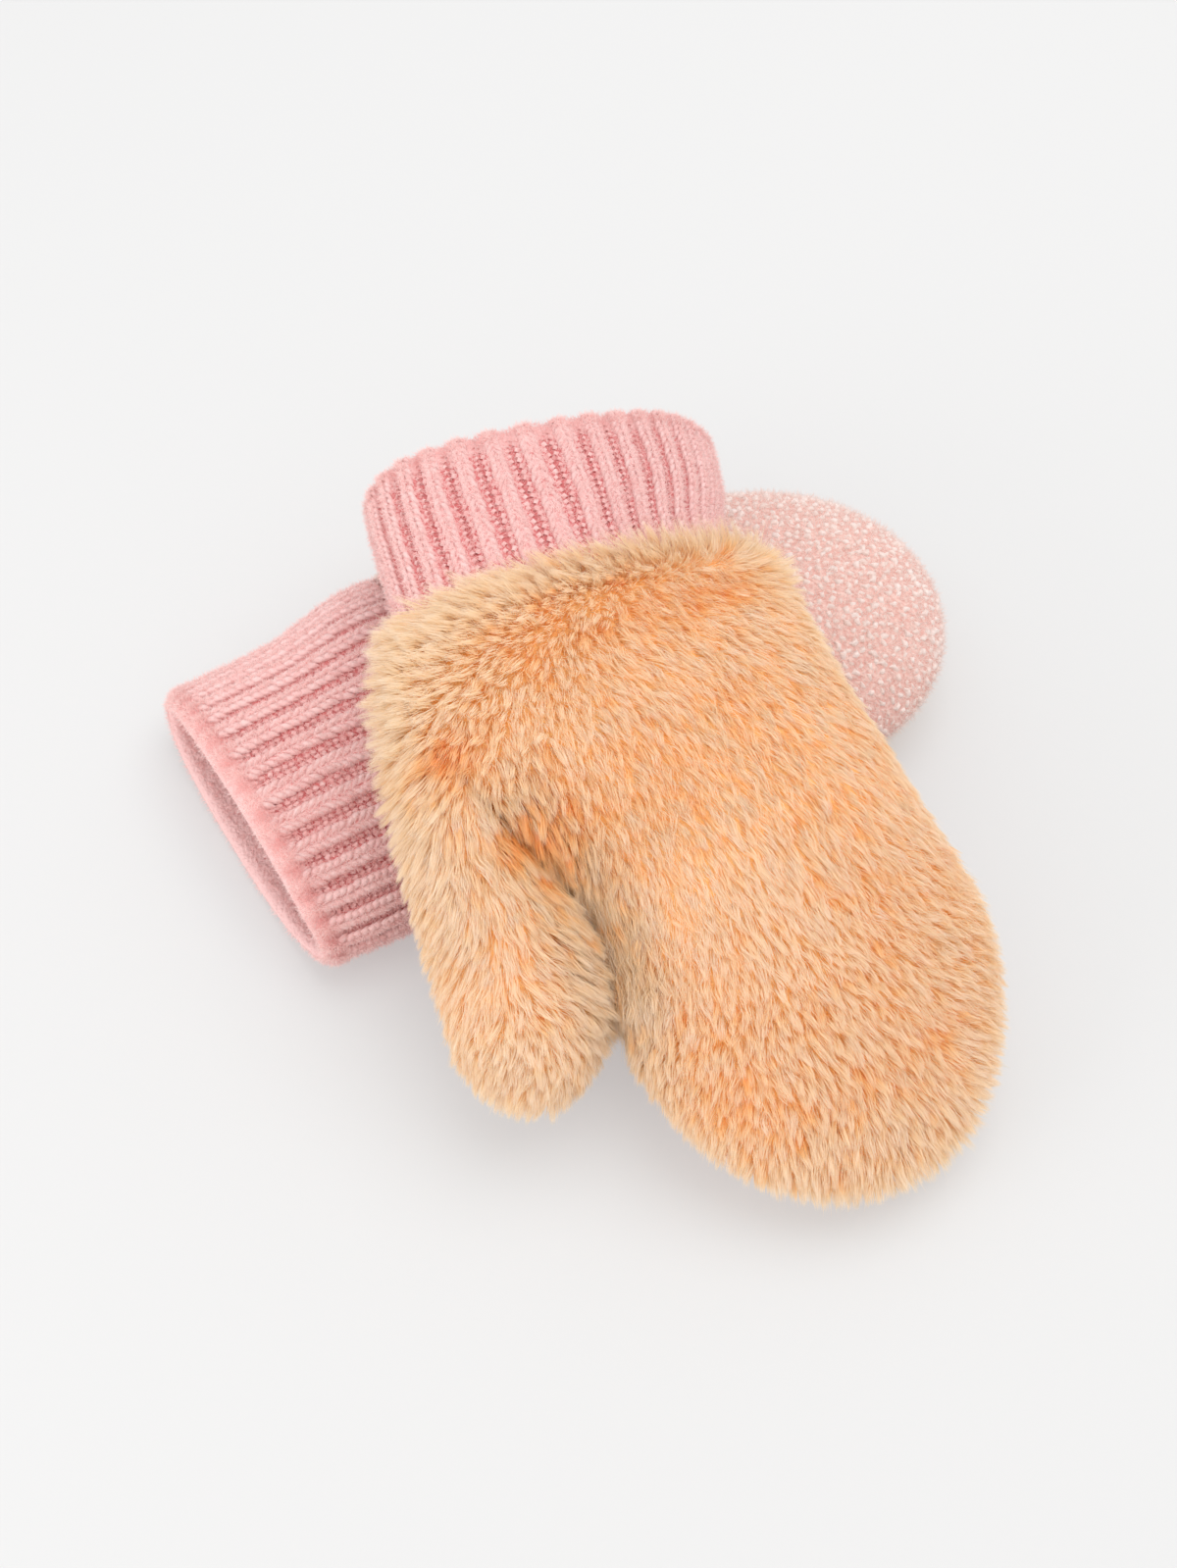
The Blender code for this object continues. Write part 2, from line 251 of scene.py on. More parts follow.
def ground_finish(name, deep, pale):
    """The knit's ground, seen between raised stitches or loops, where its deep colour is painted
    shade. Its tone makes it paler.
    """
    finish = Finish(name, 0.9)
    grain = finish.noise(1100.0, 4.0)
    lightness = grain + finish.attribute("tone") * 0.5
    finish.colour(finish.mix(lightness.between(0.35, 0.7), deep, pale))
    finish.bump(grain, 0.0008, 0.8)
    return finish.material


# ---------------------------------------------------------------- the mittens' own shape

GAP = 0.3  # between pieces that meet at a seam

# The cuff: half its width, and its rise to the palm side and to the back side
CUFF_WALL = 4.0  # two layers of knit
CUFF_ROUNDNESS = 0.94  # 1 is a true ellipse, less is squarer
CUFF_RINGS = [
    dict(u=0, half=37.5, palm=10.5, back=10.5),
    dict(u=14, half=38.6, palm=11.5, back=11.5),
    dict(u=32, half=38.4, palm=13.0, back=13.0),
    dict(u=50, half=38.2, palm=13.5, back=13.0),
]
RIB_COUNT = 34
RIB_CROWDING = 0.22  # share by which ribs are wider at the thumb's fold and narrower opposite
RIB_HEIGHT = 1.3
HEM_ROUND = 2.2  # length of the hem's rounding
HEM_FADES = 34.0  # from the hem, over which its own outline fades out

# The outline that the plush reaches: its little-finger side, where the thumb parts, and
# its thumb side
OUTLINE = [
    dict(u=50, little=-37.8, parting=38.0, thumb=42.0),
    dict(u=60, little=-38.4, parting=40.5, thumb=46.0),
    dict(u=72, little=-39.0, parting=38.0, thumb=50.0),
    dict(u=87, little=-40.2, parting=32.0, thumb=54.0),
    dict(u=103, little=-41.8, parting=26.2, thumb=57.0),
    dict(u=110, little=-42.6, parting=26.6, thumb=58.0),
    dict(u=120, little=-43.8, parting=28.0, thumb=58.8),
    dict(u=132, little=-44.8, parting=29.4, thumb=58.4),
]
CROTCH = 103.0  # where thumb and fingers part
THENAR = 40.0  # length of the valley that runs from there up the palm
THUMB_GAP = 1.6  # between the plush of thumb and fingers
GAP_OPENS = 4.0  # length over which that gap opens
TIP_START, TIP_LENGTH = 132.0, 43.0  # of the fingers' rounded end
THUMB_TIP_START, THUMB_TIP_LENGTH = 114.0, 19.0

TUCK = 24.0  # degrees that a panel's side rolls under to its seam
TUCK_FROM = 109.0  # where the fingers' inner side starts to roll under
SHOULDER = 0.42  # how far a panel drops to meet the cuff, as a share of its rise
SHOULDER_SPAN = (-3.0, 12.0)  # from the cuff's seam, over which it drops

# How each mitten lies: which way it heads on the plan and how far it rolls, in degrees, and
# its middle's height
RIGHT_LIE = [
    dict(u=0, heading=-75.5, height=42.0, roll=0.0),
    dict(u=24, heading=-75.5, height=45.0, roll=0.0),
    dict(u=50, heading=-73.5, height=46.5, roll=-1.0),
    dict(u=72, heading=-66.0, height=44.6, roll=-4.0),
    dict(u=100, heading=-62.5, height=36.1, roll=-6.0),
    dict(u=130, heading=-62.5, height=22.5, roll=-4.0),
    dict(u=150, heading=-62.5, height=13.0, roll=-1.0),
    dict(u=175, heading=-62.5, height=6.0, roll=0.0),
]
LEFT_LIE = [
    dict(u=0, heading=30.0, height=11.0, roll=0.0),
    dict(u=24, heading=28.0, height=12.0, roll=-2.0),
    dict(u=50, heading=22.0, height=12.5, roll=-6.0),
    dict(u=72, heading=17.0, height=11.0, roll=-5.0),
    dict(u=100, heading=14.0, height=10.0, roll=-3.0),
    dict(u=130, heading=13.0, height=9.5, roll=0.0),
    dict(u=175, heading=13.0, height=9.5, roll=0.0),
]
PAST_THE_END = 6.0  # how far the tables above are read past their ends
DROOP_ACROSS = (24.0, 56.0)  # v and u over which the thumb droops
DROOP_ALONG = (70.0, 118.0)

# How much wider each mitten's little-finger side is than its outline, as a share
RIGHT_WRIST = [
    dict(u=0, wider=0.0),
    dict(u=22, wider=-0.09),
    dict(u=44, wider=-0.17),
    dict(u=50, wider=-0.07),
    dict(u=58, wider=-0.02),
    dict(u=75, wider=0.0),
]
LEFT_WRIST = [
    dict(u=0, wider=0.0),
    dict(u=25, wider=-0.03),
    dict(u=46, wider=0.11),
    dict(u=60, wider=0.08),
    dict(u=85, wider=0.0),
]

# Each mitten: hem is the middle of its cuff's edge on the plan, and stretch is below 1 where
# the cloth bunches up along its length. hem_back is how far the hem stands back from u = 0:
# all round, more at its thumb side, more at its upper side, and more at both its folds. A
# panel's rise is its height over the seam at the middle, and inset how far it keeps inside
# the outline. In stitch, apart, radius, reach and dip shape the two legs of a stitch, first
# is where the rows start, hem is the share of their height that ribs have at the hem, valley
# is the yarn's tone between ribs, purl is how far its bumps are from the valley's middle, and
# on_ribs is the share of hairs that stand on ribs
RIGHT = dict(
    name="right",
    palm_up=True,
    hem=(-5.8, 71.9),
    cuff_length=45.0,
    stitch=dict(
        apart=0.18, radius=0.70, first=0.8, valley=0.62, hem=0.8, purl=0.12,
        reach=1.5, dip=0.5, hairs=60000, on_ribs=0.3,
    ),
    hem_back=dict(all=-0.8, thumb=-0.8, upper=0.0, folds=4.5),
    lie=RIGHT_LIE,
    wrist=RIGHT_WRIST,
    stretch=1.0,
    thumb_droop=6.0,
    palm=dict(rise=20.0, thumb_rise=17.0, inset=0.0),
    back=dict(rise=13.0, thumb_rise=10.0, inset=2.0),
)
LEFT = dict(
    name="left",
    palm_up=False,
    hem=(-66.8, -2.6),
    cuff_length=50.0,
    stitch=dict(
        apart=0.25, radius=0.95, first=4.2, valley=0.46, hem=0.3, purl=0.09,
        reach=1.8, dip=0.3, hairs=84000, on_ribs=0.1,
    ),
    hem_back=dict(all=-0.4, thumb=1.6, upper=1.8, folds=1.2),
    lie=LEFT_LIE,
    wrist=LEFT_WRIST,
    stretch=0.915,
    thumb_droop=0.0,
    palm=dict(rise=13.0, thumb_rise=11.0, inset=3.0),
    back=dict(rise=22.0, thumb_rise=15.0, inset=0.0),
)

FINGER_COLUMNS, THUMB_COLUMNS = 32, 16
HAND_ROWS, LOBE_ROWS, TIP_ROWS = 26, 10, 14
THUMB_ROWS, THUMB_TIP_ROWS = 4, 10
FLOOR = 0.05  # nothing reaches lower


def smooth_step(x, start, end):
    t = np.clip((np.asarray(x, float) - start) / (end - start), 0, 1)
    return t * t * (3 - 2 * t)


def through(rows, name, at):
    """A smooth curve through a table's column, read at u."""
    u = np.array([row["u"] for row in rows], float)
    value = np.array([row[name] for row in rows], float)
    slope = np.gradient(value, u)
    at = np.clip(at, u[0], u[-1])
    i = np.clip(np.searchsorted(u, at, "right") - 1, 0, len(u) - 2)
    span = u[i + 1] - u[i]
    t = (at - u[i]) / span
    return (
        (2 * t**3 - 3 * t**2 + 1) * value[i]
        + (t**3 - 2 * t**2 + t) * span * slope[i]
        + (3 * t**2 - 2 * t**3) * value[i + 1]
        + (t**3 - t**2) * span * slope[i + 1]
    )


def unit(vectors):
    return vectors / np.maximum(np.linalg.norm(vectors, axis=-1, keepdims=True), 1e-9)


class Lie:
    """Where a mitten's own coordinates are in the world, in millimetres."""

    def __init__(self, mitten):
        lie = mitten["lie"]
        self.u = np.arange(lie[0]["u"] - PAST_THE_END, lie[-1]["u"] + PAST_THE_END)
        heading = np.radians(through(lie, "heading", self.u))
        height = through(lie, "height", self.u)
        roll = np.radians(through(lie, "roll", self.u))[:, None]
        pitch = np.arcsin(np.gradient(height, self.u))
        flat = np.cos(pitch)
        self.along = np.stack([flat * np.cos(heading), flat * np.sin(heading), np.sin(pitch)], 1)
        across = np.stack([np.sin(heading), -np.cos(heading), 0 * heading], 1)
        up = np.cross(across, self.along)
        self.across = across * np.cos(roll) + up * np.sin(roll)
        self.up = up * np.cos(roll) - across * np.sin(roll)
        path = np.cumsum(self.along[:, :2], 0) * mitten["stretch"]
        start = [np.interp(0, self.u, path[:, k]) for k in (0, 1)]
        self.middle = np.column_stack([path - start + mitten["hem"], height])
        self.palm_sign = 1 if mitten["palm_up"] else -1
        self.droop = mitten["thumb_droop"]
        self.wrist, self.hem_back = mitten["wrist"], mitten["hem_back"]
        self.cuff_end = mitten["cuff_length"] - GAP / 2

    def read(self, table, u):
        return np.stack([np.interp(u, self.u, table[:, k]) for k in range(3)], -1)

    def place(self, u, v, w):
        """World points, where w is positive to the palm side."""
        v = v * np.where(v < 0, 1 + through(self.wrist, "wider", u), 1.0)
        rise = self.palm_sign * w[..., None] * self.read(self.up, u)
        found = self.read(self.middle, u) + v[..., None] * self.read(self.across, u) + rise
        found[..., 2] -= self.droop * smooth_step(v, *DROOP_ACROSS) * smooth_step(u, *DROOP_ALONG)
        return found


def dome(angle, sink):
    """A rounded panel's height, as a share of its rise. sink is how far its side rolls under."""
    return (np.cos(angle) + sink) / (1 + sink)


def section(u, q, low, high, rise, tucks):
    """One section across a panel, from low to high, with q from -1 to 1 between its seams."""
    middle, half = (low + high) / 2, (high - low) / 2
    tuck = np.where(q < 0, *tucks)
    angle = np.radians(q * (90 + tuck))
    height = rise * dome(angle, np.sin(np.radians(tuck)))
    return np.column_stack([np.full_like(q, u), middle + half * np.sin(angle), height])


def one_mound(v, rolled, rise):
    """Heights of one dome across thumb and fingers together. rolled marks what is tucked under."""
    low, high = v.min(), v.max()
    middle, half = (low + high) / 2, (high - low) / 2
    angle = np.arcsin(np.clip(np.abs(v - middle) / half, 0, 1))
    angle = np.where(rolled, math.pi - angle, angle)
    sink = np.where(v < middle, -math.cos(angle[0]), -math.cos(angle[-1]))
    return rise * dome(angle, sink)


def rounded_end(p, q, low, high, rise, start, length, tucks):
    """A section across a rounded tip, with p from 0 where it starts to 1 at its end."""
    middle, half = (low + high) / 2, (high - low) / 2
    to_tip = p * np.sqrt(1 - q**2 / 2)
    to_side = q * np.sqrt(1 - p**2 / 2)
    out = np.hypot(to_tip, to_side)
    tuck = tucks[0] + (tucks[1] - tucks[0]) * (0.5 + 0.5 * to_side / out)
    angle = np.radians(out * (90 + tuck))
    reach = np.sin(angle) / out
    height = rise * dome(angle, np.sin(np.radians(tuck)))
    u, v = start + length * reach * to_tip, middle + half * reach * to_side
    return np.column_stack([u, v, height])


def edges_at(u, inset):
    """The outline at u: the fingers' two sides, then the thumb's two."""
    parting = through(OUTLINE, "parting", u)
    opened = smooth_step(u, CROTCH - inset, CROTCH + GAP_OPENS)
    return (
        through(OUTLINE, "little", u) + inset,
        parting - inset * opened,
        parting + (THUMB_GAP + inset) * opened,
        through(OUTLINE, "thumb", u) - inset,
    )


def hand_sections(cuff_length, rise, thumb_rise, inset):
    first, last = cuff_length + GAP / 2, CROTCH - inset
    q_finger = np.linspace(-1, 1, FINGER_COLUMNS + 1)
    q_thumb = np.linspace(-1, 1, THUMB_COLUMNS + 1)
    widest = 90 / (90 + TUCK)
    rolled = np.concatenate([q_finger[:-1] < -widest, q_thumb > widest])
    rows = []
    for u in np.linspace(first, last, HAND_ROWS):
        little, finger_side, thumb_side, thumb = edges_at(u, inset)
        fingers = section(u, q_finger, little, finger_side, rise, (TUCK, 0.0))
        lone = section(u, q_thumb, thumb_side, thumb, thumb_rise, (0.0, TUCK))
        row = np.concatenate([fingers[:-1], lone])
        dropped = SHOULDER * (1 - smooth_step(u - first, *SHOULDER_SPAN))
        whole = one_mound(row[:, 1], rolled, rise * (1 - dropped))
        parted = smooth_step(u, last - THENAR, last) ** 2
        row[:, 2] = (1 - parted) * whole + parted * row[:, 2]
        rows.append(row)
    return np.array(rows)


def finger_sections(rise, inset):
    q = np.linspace(-1, 1, FINGER_COLUMNS + 1)
    rows = []
    for u in np.linspace(CROTCH - inset, TIP_START, LOBE_ROWS + 1):
        little, inner, _, _ = edges_at(u, inset)
        tuck = TUCK * float(smooth_step(u, TUCK_FROM, TIP_START))
        rows.append(section(u, q, little, inner, rise, (TUCK, tuck)))
    for p in np.linspace(0, 1, TIP_ROWS + 1)[1:]:
        length = TIP_LENGTH - inset
        rows.append(rounded_end(p, q, little, inner, rise, TIP_START, length, (TUCK, TUCK)))
    return np.array(rows)


def thumb_sections(rise, inset):
    q = np.linspace(-1, 1, THUMB_COLUMNS + 1)
    rows = []
    for u in np.linspace(CROTCH - inset, THUMB_TIP_START, THUMB_ROWS + 1):
        _, _, inner, outer = edges_at(u, inset)
        rows.append(section(u, q, inner, outer, rise, (0.0, TUCK)))
    for p in np.linspace(0, 1, THUMB_TIP_ROWS + 1)[1:]:
        length = THUMB_TIP_LENGTH - inset
        rows.append(rounded_end(p, q, inner, outer, rise, THUMB_TIP_START, length, (0.0, TUCK)))
    return np.array(rows)


def panel_at(mitten, side, lie, depth):
    """A panel's hand, fingers and thumb, depth under its outer face: own and world points."""
    panel = mitten[side]
    inset = panel["inset"] + depth
    rise, thumb_rise = panel["rise"] - depth, panel["thumb_rise"] - depth
    sign = 1 if side == "palm" else -1
    found = []
    for own in (
        hand_sections(mitten["cuff_length"], rise, thumb_rise, inset),
        finger_sections(rise, inset),
        thumb_sections(thumb_rise, inset),
    ):
        world = lie.place(own[..., 0], own[..., 1], sign * (own[..., 2] + GAP / 2))
        found.append((own, world))
    return found


def cuff_at(lie, phase, u, inset, ribs):
    """World points of the cuff. phase goes round it evenly in ribs, and ribs is their height."""
    whole = np.linspace(-math.pi, 3 * math.pi, 721)
    turn = np.interp(phase, whole - RIB_CROWDING * np.sin(whole), whole)
    hem = lie.hem_back
    back_off = hem["all"] + hem["thumb"] * np.cos(turn)
    back_off = back_off + hem["upper"] * lie.palm_sign * np.sin(turn)
    back_off = back_off + hem["folds"] * np.abs(np.cos(turn)) ** 7
    u = u + back_off * (1 - smooth_step(u, 0, HEM_FADES))
    c, s = (np.sign(x) * np.abs(x) ** CUFF_ROUNDNESS for x in (np.cos(turn), np.sin(turn)))
    inset = inset + RIB_HEIGHT * ribs * (0.5 - 0.5 * np.cos(phase * RIB_COUNT)) ** 1.5
    half, palm, back = (through(CUFF_RINGS, name, u) - inset for name in ("half", "palm", "back"))
    return lie.place(u + 0 * half, half * c, np.where(s > 0, palm, back) * s)


# ---------------------------------------------------------------- meshes


def finish_piece(name, mesh, material, smooth=True):
    mesh.materials.append(material)
    if smooth:
        mesh.shade_smooth()
    else:
        mesh.shade_flat()
    piece = bpy.data.objects.new(name, mesh)
    bpy.context.scene.collection.objects.link(piece)
    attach(piece, "root")
    return piece


def laid_grid(bm, points, tone=None):
    """A grid whose vertices are laid on an array of points, in millimetres."""
    rows, columns = points.shape[:2]
    layer = bm.verts.layers.float.get("tone") or bm.verts.layers.float.new("tone")
    segments = dict(x_segments=columns - 1, y_segments=rows - 1)
    for vertex in bmesh.ops.create_grid(bm, **segments, size=1.0)["verts"]:
        i = round((vertex.co.y + 1) / 2 * (rows - 1))
        j = round((vertex.co.x + 1) / 2 * (columns - 1))
        vertex.co = points[i, j] * MM
        if tone is not None:
            vertex[layer] = tone[i, j]


MERGED = 0.00005  # metres, within which vertices become one


def closed_piece(name, bm, material):
    bmesh.ops.recalc_face_normals(bm, faces=bm.faces)
    mesh = bpy.data.meshes.new(name)
    bm.to_mesh(mesh)
    bm.free()
    return finish_piece(name, mesh, material)


def shell(name, grids, thickness, material):
    """Cloth of an even thickness, its outer face on the grids."""
    bm = bmesh.new()
    for points in grids:
        points = points.copy()
        points[..., 2] = np.maximum(points[..., 2], FLOOR)
        laid_grid(bm, points)
    bmesh.ops.remove_doubles(bm, verts=bm.verts, dist=MERGED)
    bmesh.ops.recalc_face_normals(bm, faces=bm.faces)
    face = [(vertex.co.copy(), vertex.normal.copy()) for vertex in bm.verts]
    near = KDTree(len(face))
    for i, (place, _) in enumerate(face):
        near.insert(place, i)
    near.balance()
    bmesh.ops.solidify(bm, geom=bm.faces, thickness=thickness * MM)
    for vertex in bm.verts:
        _, i, away = near.find(vertex.co)
        if away > 1.5 * thickness * MM:  # thrown far out where the cloth creases
            vertex.co = face[i][0] - face[i][1] * thickness * MM
        vertex.co.z = max(vertex.co.z, FLOOR * MM)
    return closed_piece(name, bm, material)


def array_mesh(name, vertices, faces, tone, along, material, smooth=True):
    """One mesh from arrays: many fibres or lengths of yarn. tone and along drive its colour."""
    vertices = vertices.copy()
    vertices[:, 2] = np.maximum(vertices[:, 2], FLOOR)
    corners = faces.shape[1]
    mesh = bpy.data.meshes.new(name)
    mesh.vertices.add(len(vertices))
    mesh.vertices.foreach_set("co", (vertices * MM).astype(np.float32).ravel())
    mesh.loops.add(faces.size)
    mesh.loops.foreach_set("vertex_index", faces.astype(np.int32).ravel())
    mesh.polygons.add(len(faces))
    mesh.polygons.foreach_set("loop_start", np.arange(0, faces.size, corners, dtype=np.int32))
    for label, values in (("tone", tone), ("along", along)):
        layer = mesh.attributes.new(label, "FLOAT", "POINT")
        layer.data.foreach_set("value", values.astype(np.float32))
    colours = np.clip(np.column_stack([tone, along]), 0.002, 0.998)[faces.ravel()]
    mesh.uv_layers.new(name="OFBake").data.foreach_set("uv", colours.astype(np.float32).ravel())
    mesh.update(calc_edges=True)
    return finish_piece(name, mesh, material, smooth)


def fibres(name, points, facing, width, tone, material):
    """Tapered ribbons along points, (fibres, steps + 1, 3), turned to face outwards."""
    count, rows, _ = points.shape
    steps = rows - 1
    heading = unit(np.gradient(points, axis=1))
    side = unit(np.cross(heading, facing[:, None]))
    share = np.linspace(0, 1, rows)
    half = 0.5 * width[:, None] * (1 - 0.75 * share[:-1] ** 1.5)
    left = points[:, :-1] - side[:, :-1] * half[..., None]
    right = points[:, :-1] + side[:, :-1] * half[..., None]
    pairs = np.stack([left, right], 2).reshape(count, 2 * steps, 3)
    vertices = np.concatenate([pairs, points[:, -1:]], 1)
    each = 2 * steps + 1
    faces = []
    for k in range(steps - 1):
        a = 2 * k
        faces += [(a, a + 1, a + 3), (a, a + 3, a + 2)]
    faces.append((2 * steps - 2, 2 * steps - 1, 2 * steps))
    faces = np.array(faces)[None] + (np.arange(count) * each)[:, None, None]
    along = np.append(np.repeat(share[:-1], 2), 1.0)
    return array_mesh(
        name,
        vertices.reshape(-1, 3),
        faces.reshape(-1, 3),
        np.repeat(tone, each),
        np.tile(along, count),
        material,
    )


def yarns(name, paths, radii, up, tone, sides, material):
    """Lengths of yarn along paths, (lengths, rings, 3). Three-sided ones lie flat side up."""
    count, rings, _ = paths.shape
    heading = unit(np.gradient(paths, axis=1))
    x = unit(np.cross(heading, up[:, None]))
    y = np.cross(x, heading)
    turn = np.arange(sides) * 2 * math.pi / sides + (math.pi / 6 if sides == 3 else 0)
    spoke = np.cos(turn)[:, None] * x[:, :, None] + np.sin(turn)[:, None] * y[:, :, None]
    vertices = paths[:, :, None] + radii[..., None, None] * spoke
    i, j = np.meshgrid(np.arange(rings - 1), np.arange(sides), indexing="ij")
    here, beside = i * sides + j, i * sides + (j + 1) % sides
    faces = np.stack([here, beside, beside + sides, here + sides], -1).reshape(-1, 4)
    faces = faces[None] + (np.arange(count) * rings * sides)[:, None, None]
    # Higher on the side away from the fabric, so the yarn's top is painted paler: painted light
    painted_top_light = (np.sin(turn) * 0.5 + 0.5)[None, None, :] * np.ones((count, rings, 1))
    return array_mesh(
        name,
        vertices.reshape(-1, 3),
        faces.reshape(-1, 4),
        np.repeat(tone, rings * sides),
        painted_top_light.ravel(),
        material,
        smooth=sides > 3,
    )


# ---------------------------------------------------------------- where fibres grow


def scatter(grids, roots, count, denser=None):
    """Random places on grids of world points: root, outward direction and own (u, v).

    grids and roots are matching lists of (own, world), outer face and where fibres start."""
    cells, areas = [], []
    for (own, outer), (_, inner) in zip(grids, roots):
        corners = []
        for table in (own, outer, inner):
            a, b, c, d = table[:-1, :-1], table[1:, :-1], table[:-1, 1:], table[1:, 1:]
            corners.append(np.stack([a, b, c, d], 2).reshape(-1, 4, 3))
        p = corners[1]
        area = np.linalg.norm(np.cross(p[:, 3] - p[:, 0], p[:, 2] - p[:, 1]), axis=1)
        if denser is not None:
            area = area * (1 + denser(corners[0].mean(1)))
        cells.append(corners)
        areas.append(area)
    own, outer, inner = (np.concatenate([c[k] for c in cells]) for k in range(3))
    chance = np.concatenate(areas)
    pick = rng.choice(len(chance), count, p=chance / chance.sum())
    s, t = rng.random((2, count, 1))

    def at(table):
        a, b, c, d = (table[pick, k] for k in range(4))
        return (a * (1 - s) + b * s) * (1 - t) + (c * (1 - s) + d * s) * t

    root = at(inner)
    return root, unit(at(outer) - root), at(own)[:, :2]


# Which way the right palm's pile is combed: u, v and the degrees that it turns there from the
# fingers' way towards the thumb
COMBED = [
    (45, -34, 170), (45, -20, 132), (45, -9, 120), (45, 6, 114), (46, 18, 108), (46, 33, 102),
    (47, 43, 96), (51, -36, 250), (51, -25, 135), (51, -10, 120), (52, 4, 116), (53, 18, 108),
    (54, 33, 100), (55, 44, 95), (57, -36, -75), (57, -24, -5), (57, -10, 22), (58, 4, 62),
    (60, 18, 82), (61, 33, 86), (62, 44, 90), (63, -34, -54), (63, -22, -42), (63, -9, -34),
    (64, 4, 0), (67, 17, 46), (68, 31, 58), (68, 43, 80), (70, -33, -44), (70, -10, -40),
    (71, 4, -28), (73, 16, 6), (76, -34, -34), (76, -11, -4), (76, 13, 22), (76, 30, 23),
    (76, 40, 42), (78, 48, 65), (85, -34, -24), (85, -12, 2), (85, 10, 2), (85, 27, 2),
    (86, 38, 5), (90, 52, 48), (95, -35, -28), (95, -14, 0), (95, 10, 20), (95, 25, 24),
    (97, 38, 12), (100, 54, 50), (110, -38, -22), (110, -17, -5), (110, 5, -10), (110, 22, 0),
    (90, 36, -30), (98, 30, -45), (108, 31, -45), (106, 22, 30), (116, 31, -33), (117, 40, 0),
    (118, 52, 38), (121, -38, -14), (121, -5, -3), (121, 24, -6), (126, 40, 15), (128, 52, 42),
    (132, -40, -25), (133, -17, -5), (133, 10, 4), (133, 26, 15), (146, -38, -36),
    (150, -16, -2), (149, 9, -12), (145, 25, 40), (158, -35, -42), (164, -15, 2), (163, 7, 24),
    (156, 22, 42), (168, -28, -48), (172, -12, -2), (171, 5, 26),
]
COMB_REACH = 6.0  # how far one row's direction reaches

# Patches of the right palm where shade and light are painted into the pile: below 0 is painted
# shade, darker in its creases, valleys and the thumb's dimple, and above 0 is painted light,
# lighter
PAINTED_SHADE_AND_LIGHT = [
    dict(u=59, v=20, long=5.0, wide=10.0, tone=-0.16),
    dict(u=62, v=-18, long=3.5, wide=11.0, tone=-0.36),
    dict(u=73, v=39, long=3.6, wide=6.5, tone=-0.70),
    dict(u=89, v=33, long=3.0, wide=6.0, tone=-0.34),
    dict(u=94, v=22, long=9.0, wide=3.5, tone=-0.16),
    dict(u=85, v=7, long=3.0, wide=5.0, tone=-0.15),
    dict(u=97, v=28, long=7.0, wide=3.5, tone=-0.15),
    dict(u=110, v=27, long=10.0, wide=4.0, tone=-0.10),
    dict(u=137, v=16, long=7.0, wide=9.0, tone=-0.24),
    dict(u=157, v=6, long=4.0, wide=12.0, tone=-0.20),
    dict(u=77, v=14, long=7.0, wide=9.0, tone=0.18),
    dict(u=59, v=38, long=9.0, wide=9.0, tone=0.32),
    dict(u=81, v=38, long=3.0, wide=6.0, tone=0.14),
    dict(u=117, v=5, long=13.0, wide=14.0, tone=0.18),
    dict(u=87, v=27, long=4.5, wide=6.0, tone=-0.28),
    dict(u=126, v=46, long=8.0, wide=13.0, tone=0.20),
    dict(u=105, v=-36, long=34.0, wide=6.0, tone=0.12),
    dict(u=168, v=-8, long=6.0, wide=26.0, tone=0.12),
    dict(u=47, v=-8, long=4.0, wide=26.0, tone=0.06),
    dict(u=72, v=-14, long=7.0, wide=16.0, tone=0.10),
    dict(u=90, v=52, long=18.0, wide=6.0, tone=0.26),
]

# Where the right palm's pile is longer or thicker: over the cuff's seam, in the valley and the
# gap between thumb and fingers, and along the thumb side
LONGER = [
    dict(u=45, v=-20, long=6.0, wide=26.0, more=0.50, thick=0.3),
    dict(u=45, v=22, long=6.0, wide=22.0, more=0.45, thick=0.3),
    dict(u=50, v=-38, long=6.0, wide=5.0, more=0.60, thick=0.5),
    dict(u=57, v=34, long=10.0, wide=13.0, more=0.40, thick=0.0),
    dict(u=76, v=50, long=22.0, wide=8.0, more=0.45, thick=0.2),
    dict(u=94, v=29, long=7.0, wide=3.5, more=1.00, thick=4.0),
    dict(u=106, v=26, long=7.0, wide=3.5, more=1.00, thick=4.0),
    dict(u=120, v=28, long=8.0, wide=3.5, more=0.60, thick=2.0),
    dict(u=172, v=-8, long=7.0, wide=30.0, more=0.20, thick=0.0),
]


def combed(own):
    """Unit (along, across) of the comb at own (u, v)."""
    total = np.zeros((len(own), 2))
    for u, v, degrees in COMBED:
        away = (own[:, 0] - u) ** 2 + (own[:, 1] - v) ** 2
        near = np.exp(-away / (2 * COMB_REACH**2)) + 1e-6 / (1 + away)
        turn = math.radians(degrees)
        total += near[:, None] * np.array([math.cos(turn), math.sin(turn)])
    return unit(total)


def patched(own, rows, name):
    """The sum of a table's patches at own (u, v)."""
    found = np.zeros(len(own))
    for row in rows:
        along, across = (own[:, 0] - row["u"]) / row["long"], (own[:, 1] - row["v"]) / row["wide"]
        found += row[name] * np.exp(-(along**2 + across**2) / 2)
    return found


def comb_world(lie, own, out, comb):
    """The comb's direction in the world, flat on the cloth."""
    along, across = (lie.read(table, own[:, 0]) for table in (lie.along, lie.across))
    way = comb[:, :1] * along + comb[:, 1:] * across
    return way - (way * out).sum(1, keepdims=True) * out


def swing(vectors, about, degrees):
    """Vectors turned about the matching unit vectors."""
    angle = np.radians(degrees)[:, None]
    return vectors * np.cos(angle) + np.cross(about, vectors) * np.sin(angle)


def grow(root, out, way, length, stand, bend, steps):
    """Fibres' points. They stand off the cloth by stand degrees at the root, bend at the tip."""
    points = [root]
    for k in range(steps):
        lean = np.radians(stand + (bend - stand) * k / max(steps - 1, 1))[:, None]
        onward = unit(np.sin(lean) * out + np.cos(lean) * way)
        points.append(points[-1] + onward * length[:, None] / steps)
    return np.stack(points, 1)


